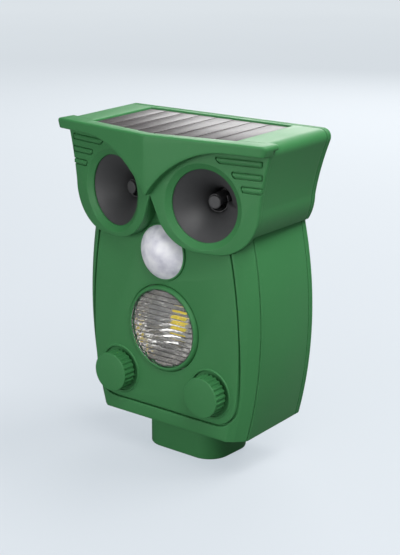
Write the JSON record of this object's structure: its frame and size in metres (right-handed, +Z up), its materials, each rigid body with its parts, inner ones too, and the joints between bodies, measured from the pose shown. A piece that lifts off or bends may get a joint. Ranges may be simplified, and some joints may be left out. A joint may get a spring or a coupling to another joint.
{
  "type": "ultrasonic pest repeller",
  "caption": "Owl-shaped solar ultrasonic pest repeller with two horns, motion sensor, strobe lamp, two knobs and a stake socket.",
  "frame": {"origin": "centre of the stake socket's mouth, in the socket's lower face", "axes": "+Z up, the front faces -Y, +X to the viewer's right"},
  "size_m": [0.13, 0.063, 0.1685],
  "materials": {
    "case_green": "satin moulded plastic",
    "knob_green": "satin moulded plastic",
    "door_green": "satin moulded plastic",
    "horn_black": "satin moulded plastic",
    "inner_black": "matt",
    "flap_rubber": "matt",
    "seal_rubber": "matt",
    "solar_base": "resin coated board",
    "solar_cell": "dark amorphous cells under resin",
    "dome_white": "pearly translucent",
    "bright_steel": "nickel plated",
    "lens_clear": "clear ribbed lens",
    "reflector_silver": "facetted vacuum metallised",
    "board_white": "solder mask",
    "led_yellow": "phosphor",
    "control_blue": "moulded",
    "board_green": "solder mask",
    "parts_black": "moulded",
    "cell_wrap": "shrink wrap",
    "switch_grey": "moulded",
    "lead_red": "insulated",
    "lead_black": "insulated"
  },
  "bodies": {
    "case": {"front_panel": "case_green", "front_frame": "case_green", "body_shell": "case_green", "rear_cover": "case_green", "head_shell": "case_green", "eye_plate": "case_green", "stake_socket": "case_green", "solar_panel": "solar_base", "solar_cells": "solar_cell", "left_horn": "horn_black", "right_horn": "horn_black", "left_horn_plug": "horn_black", "right_horn_plug": "horn_black", "left_driver": "inner_black", "right_driver": "inner_black", "pir_dome": "dome_white", "pir_ring": "case_green", "pir_sensor": "bright_steel", "lens_ring": "case_green", "strobe_lens": "lens_clear", "reflector": "reflector_silver", "strobe_board": "board_white", "strobe_leds": "led_yellow", "left_control": "control_blue", "right_control": "control_blue", "control_nuts": "bright_steel", "main_board": "board_green", "board_parts": "parts_black", "battery_holder": "inner_black", "battery_cells": "cell_wrap", "battery_springs": "bright_steel", "door_pins": "bright_steel", "switch_housing": "inner_black", "charge_socket": "bright_steel", "flap_pin": "bright_steel", "case_screws": "bright_steel", "board_screws": "bright_steel", "case_seal": "seal_rubber", "horn_leads": "lead_red", "battery_leads": "lead_red", "solar_leads": "lead_black"},
    "left_knob": {"left_knob": "knob_green", "left_shaft": "bright_steel"},
    "right_knob": {"right_knob": "knob_green", "right_shaft": "bright_steel"},
    "battery_door": {"battery_door": "door_green"},
    "power_switch": {"switch_slider": "switch_grey"},
    "charge_flap": {"charge_flap": "flap_rubber"}
  },
  "joints": [
    {"name": "left_knob_turn", "type": "hinge", "parent": "case", "child": "left_knob", "pos_m": [-0.0292, -0.028, 0.0417], "axis": [0, -1, 0], "range_deg": [-135, 135]},
    {"name": "right_knob_turn", "type": "hinge", "parent": "case", "child": "right_knob", "pos_m": [0.0292, -0.028, 0.0417], "axis": [0, -1, 0], "range_deg": [-75, 75]},
    {"name": "battery_door_hinge", "type": "hinge", "parent": "case", "child": "battery_door", "pos_m": [0, 0.0213, 0.032], "axis": [-1, 0, 0], "range_deg": [0, 110]},
    {"name": "power_switch_slide", "type": "slide", "parent": "case", "child": "power_switch", "axis": [0, 0, 1], "range_m": [0, 0.003]},
    {"name": "charge_flap_hinge", "type": "hinge", "parent": "case", "child": "charge_flap", "pos_m": [0.022, 0.02145, 0.1012], "axis": [1, 0, 0], "range_deg": [0, 100]}
  ]
}
